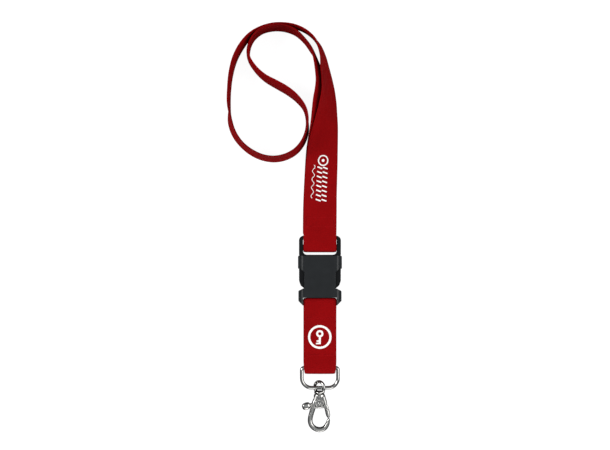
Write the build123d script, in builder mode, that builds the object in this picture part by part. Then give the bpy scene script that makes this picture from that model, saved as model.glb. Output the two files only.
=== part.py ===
from build123d import *

import os
from math import cos, radians, sin, sqrt

# Breakaway neck lanyard: a loop of 25 mm webbing, a side-release buckle, a short webbing
# tab, a D-ring and a swivelling trigger snap hook, laid out flat on a table.
# Millimetres. The origin is the centre of the buckle socket's flat back, on the table:
# +Y runs up the strap to the neck loop, -Y down to the hook, +Z away from the table.

# ---- driving dimensions -------------------------------------------------------------
WEBBING_WIDTH = 25.0
WEBBING_THICKNESS = 1.2
MID_HEIGHT = 4.0  # mid-plane of the buckle, the tab, the D-ring and the hook

BUCKLE_THICKNESS = 8.0
SOCKET_HALF_WIDTH = 16.6
SOCKET_MOUTH_Y = 18.8
SOCKET_FOOT_Y = -19.05
SOCKET_WALL = 1.5
SLOT_HALF_WIDTH = 12.8  # the webbing slots of both buckle halves

PLUG_HALF_WIDTH = 15.85
PLUG_THICKNESS = 4.8
PLUG_TOP_Y = 33.8
PLUG_BASE_TOP_Y = 19.1
PLUG_BASE_FOOT_Y = 14.5
BAR_THICKNESS = 2.4

PRONG_PIVOT_X = 12.5
PRONG_ARM_WIDTH = 2.2
PRONG_CLEARANCE = 0.05

RING_WIRE = 2.8
RING_HALF_WIDTH = 13.75  # to the wire's centre line
RING_BAR_Y = -66.2
RING_FOOT_Y = -81.5
RING_CORNER = 1.6
RING_BOW_RADIUS = 12.6

EYE_WIRE = 2.3
EYE_RADIUS = 4.4  # to the wire's centre line
EYE_TURN = 39.0  # the eye's plane is turned this far about the stem
EYE_TOP_Y = -76.8
EYE_FLANGE_Y = -84.0
EYE_FLANGE_RADIUS = 3.95
EYE_FLANGE_HEIGHT = 2.0
STEM_RADIUS = 1.3

HOOK_TOP_Y = -86.1
HEAD_THICKNESS = 6.2
BOW_THICKNESS = 4.4
PIN_X = -0.4
PIN_Y = -92.9
PIN_RADIUS = 1.2
LEVER_THICKNESS = 2.0
RUNNING_CLEARANCE = 0.06

half_webbing = WEBBING_THICKNESS / 2

# The neck strap's centre line, from above the buckle's outer bar, round the loop and back:
# x, y, z and the lean of the webbing, 0 lying face up, 90 standing on its edge with the
# printed face outwards, 180 lying face down.
STRAP_ROUTE = [
    (0.0, 32.6, 5.85, 0),
    (0.0, 34.2, 5.85, 0),
    (0.1, 40.0, 5.3, 0),
    (0.2, 52.0, 5.3, 0),
    (0.4, 64.0, 5.35, 7),
    (0.9, 76.0, 5.4, 12),
    (1.5, 88.0, 5.85, 17),
    (2.1, 99.0, 6.85, 23),
    (3.1, 109.0, 8.45, 32),
    (4.3, 118.0, 9.8, 42),
    (5.2, 126.0, 10.5, 51),
    (5.9, 135.0, 11.2, 59),
    (5.9, 144.0, 11.8, 66),
    (4.9, 152.0, 12.1, 70),
    (3.5, 160.0, 12.3, 73.5),
    (2.0, 169.4, 12.5, 79),
    (-1.5, 178.7, 12.6, 83),
    (-9.2, 186.4, 12.6, 85),
    (-17.4, 190.3, 12.6, 86),
    (-26.6, 192.0, 12.6, 86),
    (-35.7, 191.7, 12.6, 86),
    (-44.2, 189.1, 12.6, 87),
    (-52.1, 184.2, 12.6, 89),
    (-58.5, 176.4, 12.6, 92),
    (-63.5, 167.3, 12.6, 92),
    (-66.8, 156.0, 12.6, 91),
    (-68.4, 143.5, 12.6, 89.5),
    (-68.7, 131.0, 12.6, 88.5),
    (-67.7, 120.0, 12.6, 81.5),
    (-64.4, 110.2, 12.6, 81.5),
    (-58.2, 101.8, 12.6, 83),
    (-50.6, 96.0, 12.6, 83),
    (-42.1, 92.4, 12.6, 83.5),
    (-33.6, 91.5, 12.6, 83.5),
    (-25.1, 93.4, 12.6, 83.5),
    (-18.0, 97.6, 12.6, 84),
    (-12.8, 104.0, 12.6, 85),
    (-9.7, 112.0, 12.6, 87),
    (-9.1, 120.5, 12.6, 90),
    (-11.1, 128.6, 12.6, 92),
    (-16.3, 135.6, 12.6, 95),
    (-24.0, 142.0, 12.6, 97),
    (-32.6, 147.0, 12.6, 97),
    (-41.2, 152.0, 12.6, 95),
    (-48.4, 159.0, 12.6, 93),
    (-52.8, 166.5, 12.6, 92),
    (-53.3, 174.0, 12.6, 91),
    (-50.5, 181.4, 12.6, 91),
    (-44.6, 187.4, 12.6, 89),
    (-36.1, 190.1, 12.6, 88),
    (-27.1, 189.8, 12.6, 88),
    (-19.0, 186.8, 12.6, 89),
    (-11.9, 180.3, 12.6, 91),
    (-6.7, 173.0, 12.6, 91),
    (-3.5, 166.0, 12.6, 97),
    (-1.0, 158.5, 12.4, 103),
    (0.5, 151.0, 12.2, 107),
    (1.3, 144.0, 11.8, 114),
    (1.1, 135.0, 11.1, 121),
    (1.4, 126.0, 10.15, 129),
    (1.8, 118.0, 8.95, 138),
    (1.7, 109.0, 7.2, 148),
    (1.2, 99.0, 5.5, 157),
    (0.8, 88.0, 4.5, 163),
    (0.4, 76.0, 4.05, 168),
    (0.0, 64.0, 3.95, 173),
    (-0.3, 52.0, 3.9, 180),
    (-0.4, 40.0, 3.9, 180),
    (-0.4, 35.2, 3.9, 180),
]

# Side view (y, z) of the strap's end: folded round the plug's inner bar and laid back
# under the strap.
FOLD_Y = 23.6
FOLD_PLY_OFFSET = BAR_THICKNESS / 2 + 0.05 + half_webbing
STRAP_JOIN_Y = 34.2
RETURN_FLAT_Y = 40.0
RETURN_END_Y = 48.5
RETURN_Z = 2.5

# Side view (y, z) of the tab: a closed loop of webbing round the socket's bar and the
# D-ring's bar.
TAB_BAR_THICKNESS = 2.6
TAB_TOP_FOLD_Y = -15.8
TAB_FOOT_FOLD_Y = -68.4
TAB_PLY_OFFSET = TAB_BAR_THICKNESS / 2 + 0.05 + half_webbing
TAB_FOOT_OFFSET = RING_WIRE / 2 + 0.05 + half_webbing
TAB_CLOSED_OFFSET = 0.7
TAB_CLOSED_TOP_Y = -27.0
TAB_CLOSED_FOOT_Y = -58.0

# Stitches: short straight runs of thread lying on the webbing's faces.
THREAD = 0.45
THREAD_HEIGHT = 0.2
STITCH_LENGTH = 2.0
STITCH_PITCH = 2.9


def strap_plane(index):
    """The plane across the neck strap at one point of its route."""
    x, y, z, lean = STRAP_ROUTE[index]
    before = STRAP_ROUTE[max(index - 1, 0)]
    after = STRAP_ROUTE[min(index + 1, len(STRAP_ROUTE) - 1)]
    heading = Vector(after[0] - before[0], after[1] - before[1], 0).normalized()
    side = heading.cross(Vector(0, 0, 1))
    face = side * sin(radians(lean)) + Vector(0, 0, 1) * cos(radians(lean))
    return Plane(origin=(x, y, z), x_dir=face, z_dir=heading)


# ---- neck strap ---------------------------------------------------------------------
with BuildPart() as neck_strap:
    for station in range(len(STRAP_ROUTE)):
        with BuildSketch(strap_plane(station)):
            Rectangle(WEBBING_THICKNESS, WEBBING_WIDTH)
    loft(ruled=True)
    with BuildSketch(Plane.YZ):
        with BuildLine():
            Line((STRAP_JOIN_Y, MID_HEIGHT + FOLD_PLY_OFFSET), (FOLD_Y, MID_HEIGHT + FOLD_PLY_OFFSET))
            ThreePointArc(
                (FOLD_Y, MID_HEIGHT + FOLD_PLY_OFFSET),
                (FOLD_Y - FOLD_PLY_OFFSET, MID_HEIGHT),
                (FOLD_Y, MID_HEIGHT - FOLD_PLY_OFFSET),
            )
            Line((FOLD_Y, MID_HEIGHT - FOLD_PLY_OFFSET), (STRAP_JOIN_Y, MID_HEIGHT - FOLD_PLY_OFFSET))
            Line((STRAP_JOIN_Y, MID_HEIGHT - FOLD_PLY_OFFSET), (RETURN_FLAT_Y, RETURN_Z))
            Line((RETURN_FLAT_Y, RETURN_Z), (RETURN_END_Y, RETURN_Z))
        trace(line_width=WEBBING_THICKNESS)
    extrude(amount=WEBBING_WIDTH / 2, both=True)
neck_strap.part.label = "neck_strap"

# ---- tab strap ----------------------------------------------------------------------
tab_side = [
    (TAB_TOP_FOLD_Y, MID_HEIGHT + TAB_PLY_OFFSET),
    (SOCKET_FOOT_Y - 1.0, MID_HEIGHT + TAB_PLY_OFFSET),
    (TAB_CLOSED_TOP_Y, MID_HEIGHT + TAB_CLOSED_OFFSET),
    (TAB_CLOSED_FOOT_Y, MID_HEIGHT + TAB_CLOSED_OFFSET),
    (RING_BAR_Y + RING_WIRE, MID_HEIGHT + TAB_FOOT_OFFSET),
    (TAB_FOOT_FOLD_Y, MID_HEIGHT + TAB_FOOT_OFFSET),
]
tab_back = [(y, 2 * MID_HEIGHT - z) for y, z in tab_side]
tab_taper = [
    (WEBBING_WIDTH / 2, -61.5),
    (WEBBING_WIDTH / 2 - 0.3, -65.8),
    (WEBBING_WIDTH / 2 - 0.6, -68.6),
    (WEBBING_WIDTH / 2 - 1.3, -71.3),
    (WEBBING_WIDTH / 2 + 1.0, -71.3),
    (WEBBING_WIDTH / 2 + 1.0, -61.5),
]
with BuildPart() as tab_strap:
    with BuildSketch(Plane.YZ):
        with BuildLine():
            Polyline(*tab_side)
            ThreePointArc(
                tab_side[-1], (TAB_FOOT_FOLD_Y - TAB_FOOT_OFFSET, MID_HEIGHT), tab_back[-1]
            )
            Polyline(*tab_back)
            ThreePointArc(
                tab_back[0], (TAB_TOP_FOLD_Y + TAB_PLY_OFFSET, MID_HEIGHT), tab_side[0]
            )
        trace(line_width=WEBBING_THICKNESS)
    extrude(amount=WEBBING_WIDTH / 2, both=True)
    # the webbing draws in towards the fold, where the ring's sides squeeze it
    with BuildSketch(Plane.XY):
        Polygon(*tab_taper, align=None)
        mirror(about=Plane.YZ)
    extrude(amount=2 * MID_HEIGHT, mode=Mode.SUBTRACT)
tab_strap.part.label = "tab_strap"


def stitch_points(start, end):
    """Centres of the stitches along one straight seam."""
    length = sqrt((end[0] - start[0]) ** 2 + (end[1] - start[1]) ** 2)
    count = round(length / STITCH_PITCH)
    steps = [(number + 0.5) / count for number in range(count)]
    return [
        (start[0] + (end[0] - start[0]) * step, start[1] + (end[1] - start[1]) * step)
        for step in steps
    ]


# ---- seams --------------------------------------------------------------------------
STRAP_SEAM_Z = 5.3  # height of the front strand's middle at the seam
BOX_HALF_WIDTH = 10.5
BOX_FOOT_Y = 40.8
BOX_TOP_Y = 47.6
box_seams = [
    ((-BOX_HALF_WIDTH, BOX_FOOT_Y), (BOX_HALF_WIDTH, BOX_FOOT_Y), 0),
    ((-BOX_HALF_WIDTH, BOX_TOP_Y), (BOX_HALF_WIDTH, BOX_TOP_Y), 0),
    ((-BOX_HALF_WIDTH - THREAD, BOX_FOOT_Y), (-BOX_HALF_WIDTH - THREAD, BOX_TOP_Y), 90),
    ((BOX_HALF_WIDTH + THREAD, BOX_FOOT_Y), (BOX_HALF_WIDTH + THREAD, BOX_TOP_Y), 90),
]
with BuildPart() as neck_strap_stitching:
    for face_z in (STRAP_SEAM_Z + half_webbing, RETURN_Z - half_webbing - THREAD_HEIGHT):
        for seam_start, seam_end, seam_turn in box_seams:
            with BuildSketch(Plane.XY.offset(face_z)):
                with Locations(*stitch_points(seam_start, seam_end)):
                    Rectangle(STITCH_LENGTH, THREAD, rotation=seam_turn)
            extrude(amount=THREAD_HEIGHT)
neck_strap_stitching.part.label = "neck_strap_stitching"

TAB_SEAMS_Y = (-28.5, -56.5)
tab_reach = TAB_CLOSED_OFFSET + half_webbing
with BuildPart() as tab_strap_stitching:
    for face_z in (MID_HEIGHT + tab_reach, MID_HEIGHT - tab_reach - THREAD_HEIGHT):
        for seam_y in TAB_SEAMS_Y:
            with BuildSketch(Plane.XY.offset(face_z)):
                with Locations(
                    *stitch_points((-BOX_HALF_WIDTH, seam_y), (BOX_HALF_WIDTH, seam_y))
                ):
                    Rectangle(STITCH_LENGTH, THREAD)
            extrude(amount=THREAD_HEIGHT)
tab_strap_stitching.part.label = "tab_strap_stitching"

# ---- buckle socket ------------------------------------------------------------------
WAIST_HALF_WIDTH = 11.8
BAND_FOOT_Y = 9.2
WINDOW_TOP_Y = 5.4
WINDOW_FOOT_Y = -6.2
FOOT_HALF_WIDTH = 16.3
CAVITY_HALF_WIDTH = 15.1
TAB_SLOT_TOP_Y = -12.4
TAB_BAR_TOP_Y = -14.5
socket_right = [
    (SOCKET_HALF_WIDTH - 1.0, SOCKET_MOUTH_Y),
    (SOCKET_HALF_WIDTH, SOCKET_MOUTH_Y - 1.0),
    (SOCKET_HALF_WIDTH, BAND_FOOT_Y),
    (SOCKET_HALF_WIDTH - 1.4, BAND_FOOT_Y),
    (WAIST_HALF_WIDTH, WINDOW_TOP_Y),
    (WAIST_HALF_WIDTH, WINDOW_FOOT_Y),
    (FOOT_HALF_WIDTH, WINDOW_FOOT_Y - 2.2),
    (FOOT_HALF_WIDTH, SOCKET_FOOT_Y + 3.4),
    (FOOT_HALF_WIDTH - 3.4, SOCKET_FOOT_Y),
]
socket_left = [(-x, y) for x, y in reversed(socket_right)]
with BuildPart() as buckle_socket:
    with BuildSketch(Plane.XY):
        Polygon(*socket_right, *socket_left, align=None)
    extrude(amount=BUCKLE_THICKNESS)
    rim = buckle_socket.faces().filter_by(Axis.Z).edges()
    chamfer(rim, length=0.6)
    # the cavity the plug slides into, open at the mouth and at both windows
    with BuildSketch(Plane.XY.offset(SOCKET_WALL)):
        with Locations((0, (SOCKET_MOUTH_Y + 1 + WINDOW_FOOT_Y) / 2)):
            Rectangle(2 * CAVITY_HALF_WIDTH, SOCKET_MOUTH_Y + 1 - WINDOW_FOOT_Y)
    extrude(amount=BUCKLE_THICKNESS - 2 * SOCKET_WALL, mode=Mode.SUBTRACT)
    # the slot the tab's webbing passes through
    with BuildSketch(Plane.XY):
        with Locations((0, (TAB_SLOT_TOP_Y + TAB_BAR_TOP_Y) / 2)):
            Rectangle(2 * SLOT_HALF_WIDTH, TAB_SLOT_TOP_Y - TAB_BAR_TOP_Y)
    extrude(amount=BUCKLE_THICKNESS, mode=Mode.SUBTRACT)
    # the bar is thinned on both faces so that the webbing lies within the foot
    with BuildSketch(Plane.XY, Plane.XY.offset(MID_HEIGHT + TAB_BAR_THICKNESS / 2)):
        with Locations((0, (TAB_BAR_TOP_Y + SOCKET_FOOT_Y - 1) / 2)):
            Rectangle(2 * SLOT_HALF_WIDTH, TAB_BAR_TOP_Y - SOCKET_FOOT_Y + 1)
    extrude(amount=MID_HEIGHT - TAB_BAR_THICKNESS / 2, mode=Mode.SUBTRACT)
    bar_top = buckle_socket.edges().filter_by(Axis.X).filter_by_position(
        Axis.Y, TAB_BAR_TOP_Y - 0.01, TAB_BAR_TOP_Y + 0.01
    )
    fillet(bar_top, radius=TAB_BAR_THICKNESS / 2 - 0.02)
buckle_socket.part.label = "buckle_socket"

# ---- buckle plug --------------------------------------------------------------------
BASE_HALF_WIDTH = 14.4
OUTER_SLOT_TOP_Y = 30.8
OUTER_SLOT_FOOT_Y = 27.2
PLUG_TOP_CORNER = 3.4
PLUG_FOOT_CORNER = 2.2
WINDOW_CORNER = 1.6
GUIDE_HALF_WIDTH = 1.9
GUIDE_THICKNESS = 2.8
GUIDE_FOOT_Y = -4.0
plug_low_z = MID_HEIGHT - PLUG_THICKNESS / 2
with BuildPart() as buckle_plug:
    with BuildSketch(Plane.XY.offset(plug_low_z)) as plug_outline:
        with Locations((0, (PLUG_TOP_Y + PLUG_BASE_TOP_Y) / 2)):
            Rectangle(2 * PLUG_HALF_WIDTH, PLUG_TOP_Y - PLUG_BASE_TOP_Y)
        fillet(plug_outline.vertices().group_by(Axis.Y)[-1], radius=PLUG_TOP_CORNER)
        fillet(plug_outline.vertices().group_by(Axis.Y)[0], radius=PLUG_FOOT_CORNER)
        with Locations((0, (PLUG_BASE_TOP_Y + PLUG_BASE_FOOT_Y) / 2)):
            Rectangle(2 * BASE_HALF_WIDTH, PLUG_BASE_TOP_Y - PLUG_BASE_FOOT_Y)
        with Locations((0, (OUTER_SLOT_TOP_Y + PLUG_BASE_TOP_Y) / 2)):
            Rectangle(
                2 * SLOT_HALF_WIDTH, OUTER_SLOT_TOP_Y - PLUG_BASE_TOP_Y, mode=Mode.SUBTRACT
            )
        window_foot = plug_outline.vertices().filter_by_position(
            Axis.Y, PLUG_BASE_TOP_Y - 0.01, PLUG_BASE_TOP_Y + 0.01
        )
        window_corners = window_foot.filter_by_position(
            Axis.X, -SLOT_HALF_WIDTH - 0.01, SLOT_HALF_WIDTH + 0.01
        )
        fillet(window_corners, radius=WINDOW_CORNER)
        with Locations((-PRONG_PIVOT_X, PLUG_BASE_FOOT_Y), (PRONG_PIVOT_X, PLUG_BASE_FOOT_Y)):
            Circle(PRONG_ARM_WIDTH / 2 + PRONG_CLEARANCE, mode=Mode.SUBTRACT)
    extrude(amount=PLUG_THICKNESS)
    # the outer bar is thinner than the frame, so the webbing lies flush over it
    with BuildSketch(Plane.XY, Plane.XY.offset(MID_HEIGHT + BAR_THICKNESS / 2)):
        with Locations((0, (OUTER_SLOT_TOP_Y + PLUG_TOP_Y + 1) / 2)):
            Rectangle(2 * SLOT_HALF_WIDTH, PLUG_TOP_Y + 1 - OUTER_SLOT_TOP_Y)
    extrude(amount=MID_HEIGHT - BAR_THICKNESS / 2, mode=Mode.SUBTRACT)
    # the inner bar that the webbing is folded round
    with BuildSketch(Plane.YZ):
        with Locations(((FOLD_Y + OUTER_SLOT_FOOT_Y) / 2, MID_HEIGHT)):
            Rectangle(OUTER_SLOT_FOOT_Y - FOLD_Y, BAR_THICKNESS)
        with Locations((FOLD_Y, MID_HEIGHT)):
            Circle(BAR_THICKNESS / 2)
    extrude(amount=SLOT_HALF_WIDTH + 0.5, both=True)
    # the centre guide that lines the plug up in the socket
    with BuildSketch(Plane.XY.offset(MID_HEIGHT - GUIDE_THICKNESS / 2)):
        with Locations((0, (PLUG_BASE_FOOT_Y + 1 + GUIDE_FOOT_Y) / 2)):
            Rectangle(2 * GUIDE_HALF_WIDTH, PLUG_BASE_FOOT_Y + 1 - GUIDE_FOOT_Y)
    extrude(amount=GUIDE_THICKNESS)
buckle_plug.part.label = "buckle_plug"

# ---- buckle prongs ------------------------------------------------------------------
SHOULDER_Y = 9.05
PRONG_TIP_X = 12.2
PRONG_TIP_Y = -5.8
PRONG_CURVE_Y = 0.5  # where the outer side starts to curve in
PRONG_CURVE = 9.5
prong_inner_x = PRONG_PIVOT_X - PRONG_ARM_WIDTH / 2
prong_outer_x = PRONG_PIVOT_X + PRONG_ARM_WIDTH / 2

with BuildPart() as buckle_prong_right:
    with BuildSketch(Plane.XY.offset(plug_low_z)):
        with Locations((PRONG_PIVOT_X, PLUG_BASE_FOOT_Y)):
            Circle(PRONG_ARM_WIDTH / 2)
        with BuildLine():
            Polyline(
                (prong_inner_x, PLUG_BASE_FOOT_Y),
                (prong_outer_x, PLUG_BASE_FOOT_Y),
                (prong_outer_x, SHOULDER_Y),
                (PLUG_HALF_WIDTH, SHOULDER_Y),
                (PLUG_HALF_WIDTH, PRONG_CURVE_Y),
            )
            RadiusArc(
                (PLUG_HALF_WIDTH, PRONG_CURVE_Y), (PRONG_TIP_X, PRONG_TIP_Y), PRONG_CURVE
            )
            Polyline(
                (PRONG_TIP_X, PRONG_TIP_Y),
                (PRONG_TIP_X - 1.3, PRONG_TIP_Y + 0.6),
                (prong_inner_x - 1.2, 4.0),
                (prong_inner_x, 8.0),
                (prong_inner_x, PLUG_BASE_FOOT_Y),
            )
        make_face()
    extrude(amount=PLUG_THICKNESS)
buckle_prong_right.part.label = "buckle_prong_right"

with BuildPart() as buckle_prong_left:
    mirror(buckle_prong_right.part, about=Plane.YZ)
buckle_prong_left.part.label = "buckle_prong_left"

# ---- D-ring -------------------------------------------------------------------------
with BuildPart() as d_ring:
    with BuildLine(Plane.XY.offset(MID_HEIGHT)):
        FilletPolyline(
            (0, RING_BAR_Y),
            (RING_HALF_WIDTH, RING_BAR_Y),
            (RING_HALF_WIDTH, RING_FOOT_Y),
            (0, RING_FOOT_Y),
            radius=(RING_CORNER, RING_BOW_RADIUS),
        )
        FilletPolyline(
            (0, RING_FOOT_Y),
            (-RING_HALF_WIDTH, RING_FOOT_Y),
            (-RING_HALF_WIDTH, RING_BAR_Y),
            (0, RING_BAR_Y),
            radius=(RING_BOW_RADIUS, RING_CORNER),
        )
    with BuildSketch(Plane(origin=(0, RING_BAR_Y, MID_HEIGHT), z_dir=(1, 0, 0))):
        Circle(RING_WIRE / 2)
    sweep()
d_ring.part.label = "d_ring"

# ---- swivel eye ---------------------------------------------------------------------
eye_plane = Plane(
    origin=(PIN_X, EYE_TOP_Y - EYE_RADIUS, MID_HEIGHT),
    x_dir=(cos(radians(EYE_TURN)), 0, sin(radians(EYE_TURN))),
    z_dir=(-sin(radians(EYE_TURN)), 0, cos(radians(EYE_TURN))),
)
eye_foot_y = EYE_FLANGE_Y - EYE_FLANGE_HEIGHT
STEM_FOOT_Y = -90.2
RIVET_RADIUS = 2.0
RIVET_HEIGHT = 1.0
with BuildPart() as swivel_eye:
    with Locations(eye_plane):
        Torus(EYE_RADIUS, EYE_WIRE / 2)
    # the loop's foot is cut off level with the underside of its flange
    with BuildSketch(Plane(origin=(PIN_X, eye_foot_y, MID_HEIGHT), z_dir=(0, -1, 0))):
        Circle(2 * EYE_RADIUS)
    extrude(amount=EYE_RADIUS, mode=Mode.SUBTRACT)
    with BuildSketch(Plane(origin=(PIN_X, EYE_FLANGE_Y, MID_HEIGHT), z_dir=(0, -1, 0))):
        Circle(EYE_FLANGE_RADIUS)
    extrude(amount=EYE_FLANGE_HEIGHT)
    with BuildSketch(Plane(origin=(PIN_X, EYE_FLANGE_Y, MID_HEIGHT), z_dir=(0, -1, 0))):
        Circle(STEM_RADIUS)
    extrude(amount=EYE_FLANGE_Y - STEM_FOOT_Y)
    with BuildSketch(Plane(origin=(PIN_X, STEM_FOOT_Y, MID_HEIGHT), z_dir=(0, 1, 0))):
        Circle(RIVET_RADIUS)
    extrude(amount=RIVET_HEIGHT)
swivel_eye.part.label = "swivel_eye"

# ---- hook body ----------------------------------------------------------------------
LEVER_SLOT_WIDTH = 18.0
LEVER_SLOT_FOOT_Y = -98.0
THUMB_SLOT_TOP_Y = -89.0
hook_left = [
    (-4.6, HOOK_TOP_Y),
    (-5.2, -90.0),
    (-6.9, -95.6),
    (-7.8, -99.4),
    (-8.8, -102.8),
    (-9.4, -106.2),
    (-8.8, -109.4),
    (-6.8, -112.3),
    (-3.5, -114.4),
    (0.4, -115.1),
    (4.0, -113.9),
    (6.5, -111.2),
    (7.5, -108.0),
]
NOSE_OUTER = (7.7, -104.5)
NOSE_INNER = (5.1, -105.35)
bow_inner = [
    NOSE_INNER,
    (4.7, -106.6),
    (3.4, -109.1),
    (1.5, -110.8),
    (-0.8, -111.3),
    (-3.2, -110.5),
    (-4.9, -108.4),
    (-5.6, -105.4),
    (-5.4, -102.0),
    (-4.6, -99.0),
    (-3.2, -97.1),
    (-0.8, -96.3),
]
hook_right = [(2.2, -96.6), (4.4, -95.8), (5.6, -93.8), (4.9, -90.0), (4.4, HOOK_TOP_Y)]
HEAD_FOOT = (-0.6, -97.0)
head_left = [(-4.5, HOOK_TOP_Y), (-5.1, -90.0), (-6.6, -95.4), (-4.6, -96.5)]
head_right = [(3.2, -96.0), (5.1, -94.8), (5.5, -93.6), (4.8, -90.0), (4.3, HOOK_TOP_Y)]
lever_gap = LEVER_THICKNESS / 2 + RUNNING_CLEARANCE
with BuildPart() as hook_body:
    with BuildSketch(Plane.XY.offset(MID_HEIGHT - BOW_THICKNESS / 2)):
        with BuildLine():
            Line(hook_right[-1], hook_left[0])
            Polyline(*hook_left[:3])
            Spline(*hook_left[2:])
            Polyline(hook_left[-1], NOSE_OUTER, NOSE_INNER)
            Spline(*bow_inner)
            Polyline(bow_inner[-1], *hook_right)
        make_face()
    extrude(amount=BOW_THICKNESS)
    # the thicker head: barrel for the swivel stem and boss for the trigger's pin
    with BuildSketch(Plane.XY.offset(MID_HEIGHT - HEAD_THICKNESS / 2)):
        with BuildLine():
            Polyline(head_right[-1], *head_left)
            ThreePointArc(head_left[-1], HEAD_FOOT, head_right[0])
            Polyline(*head_right)
        make_face()
    extrude(amount=HEAD_THICKNESS)
    # bore for the swivel stem, with room for its riveted end
    with BuildSketch(Plane(origin=(PIN_X, HOOK_TOP_Y, MID_HEIGHT), z_dir=(0, -1, 0))):
        Circle(STEM_RADIUS + RUNNING_CLEARANCE)
    extrude(amount=HOOK_TOP_Y - STEM_FOOT_Y, mode=Mode.SUBTRACT)
    with BuildSketch(Plane(origin=(PIN_X, STEM_FOOT_Y - 0.1, MID_HEIGHT), z_dir=(0, 1, 0))):
        Circle(RIVET_RADIUS + RUNNING_CLEARANCE)
    extrude(amount=RIVET_HEIGHT + 0.2, mode=Mode.SUBTRACT)
    # the slot across the head that the trigger turns in, higher where its thumb arm swings up
    with BuildSketch(Plane.XY.offset(MID_HEIGHT - lever_gap)):
        with Locations((PIN_X, (STEM_FOOT_Y + LEVER_SLOT_FOOT_Y) / 2)):
            Rectangle(LEVER_SLOT_WIDTH, STEM_FOOT_Y - LEVER_SLOT_FOOT_Y)
        with Locations((PIN_X - RIVET_RADIUS, THUMB_SLOT_TOP_Y)):
            Rectangle(
                LEVER_SLOT_WIDTH / 2 - RIVET_RADIUS,
                THUMB_SLOT_TOP_Y - LEVER_SLOT_FOOT_Y,
                align=(Align.MAX, Align.MAX),
            )
    extrude(amount=2 * lever_gap, mode=Mode.SUBTRACT)
    with Locations((PIN_X, PIN_Y, MID_HEIGHT)):
        Hole(PIN_RADIUS)
hook_body.part.label = "hook_body"

# ---- trigger ------------------------------------------------------------------------
HUB_RADIUS = 2.6
THUMB_ROOT_RADIUS = 2.2
THUMB_TIP_RADIUS = 1.6
GATE_BEND = (4.4, -95.4)
GATE_ROOT = (5.6, -99.0)
GATE_TIP = (6.35, -102.55)
GATE_RADIUS = 1.7  # half the gate's width, from its bend to its root
GATE_TIP_RADIUS = 1.45
GATE_THICKNESS = 3.6
KNOB_CENTRE = (-10.35, -95.4)
KNOB_LENGTH = 6.6
KNOB_WIDTH = 5.4
KNOB_TURN = 20.0
KNOB_THICKNESS = 4.4
SPRING_POCKET_RADIUS = 2.05
SPRING_POCKET_DEPTH = 0.9
lever_low_z = MID_HEIGHT - LEVER_THICKNESS / 2
with BuildPart() as trigger_gate:
    with BuildSketch(Plane.XY.offset(lever_low_z)):
        with BuildSketch(mode=Mode.PRIVATE) as gate_ends:
            with Locations((PIN_X, PIN_Y)):
                Circle(HUB_RADIUS)
            with Locations(GATE_BEND):
                Circle(GATE_RADIUS)
        make_hull(gate_ends.edges())
        with BuildSketch(mode=Mode.PRIVATE) as arm_ends:
            with Locations(GATE_BEND, GATE_ROOT):
                Circle(GATE_RADIUS)
        make_hull(arm_ends.edges())
        with BuildSketch(mode=Mode.PRIVATE) as thumb_ends:
            with Locations((PIN_X, PIN_Y)):
                Circle(THUMB_ROOT_RADIUS)
            with Locations(KNOB_CENTRE):
                Circle(THUMB_TIP_RADIUS)
        make_hull(thumb_ends.edges())
    extrude(amount=LEVER_THICKNESS)
    # the gate's thick end, which closes against the nose
    with BuildSketch(Plane.XY.offset(MID_HEIGHT - GATE_THICKNESS / 2)):
        with BuildSketch(mode=Mode.PRIVATE) as tip_ends:
            with Locations(GATE_ROOT):
                Circle(GATE_RADIUS)
            with Locations(GATE_TIP):
                Circle(GATE_TIP_RADIUS)
        make_hull(tip_ends.edges())
    extrude(amount=GATE_THICKNESS)
    # the thumb knob
    with BuildSketch(Plane.XY.offset(MID_HEIGHT - KNOB_THICKNESS / 2)):
        with Locations(KNOB_CENTRE):
            Ellipse(KNOB_LENGTH / 2, KNOB_WIDTH / 2, rotation=KNOB_TURN)
    extrude(amount=KNOB_THICKNESS)
    with Locations((PIN_X, PIN_Y, MID_HEIGHT)):
        Hole(PIN_RADIUS + RUNNING_CLEARANCE)
    with BuildSketch(Plane.XY.offset(MID_HEIGHT + LEVER_THICKNESS / 2 - SPRING_POCKET_DEPTH)):
        with Locations((PIN_X, PIN_Y)):
            Circle(SPRING_POCKET_RADIUS)
    extrude(amount=SPRING_POCKET_DEPTH, mode=Mode.SUBTRACT)
trigger_gate.part.label = "trigger_gate"

PIN_HEAD_RADIUS = 1.9
PIN_HEAD_HEIGHT = 0.35
with BuildPart() as trigger_pin:
    with BuildSketch(Plane.XY.offset(MID_HEIGHT - HEAD_THICKNESS / 2)):
        with Locations((PIN_X, PIN_Y)):
            Circle(PIN_RADIUS)
    extrude(amount=HEAD_THICKNESS)
    with BuildSketch(Plane.XY.offset(MID_HEIGHT + HEAD_THICKNESS / 2)):
        with Locations((PIN_X, PIN_Y)):
            Circle(PIN_HEAD_RADIUS)
    extrude(amount=PIN_HEAD_HEIGHT)
    with BuildSketch(Plane.XY.offset(MID_HEIGHT - HEAD_THICKNESS / 2)):
        with Locations((PIN_X, PIN_Y)):
            Circle(PIN_HEAD_RADIUS)
    extrude(amount=-PIN_HEAD_HEIGHT)
trigger_pin.part.label = "trigger_pin"

SPRING_WIRE = 0.35
SPRING_RADIUS = 1.6
spring_z = MID_HEIGHT + LEVER_THICKNESS / 2 - SPRING_POCKET_DEPTH
with BuildPart() as trigger_spring:
    with Locations((PIN_X, PIN_Y, spring_z + 0.25), (PIN_X, PIN_Y, spring_z + 0.65)):
        Torus(SPRING_RADIUS, SPRING_WIRE / 2)
trigger_spring.part.label = "trigger_spring"

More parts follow.
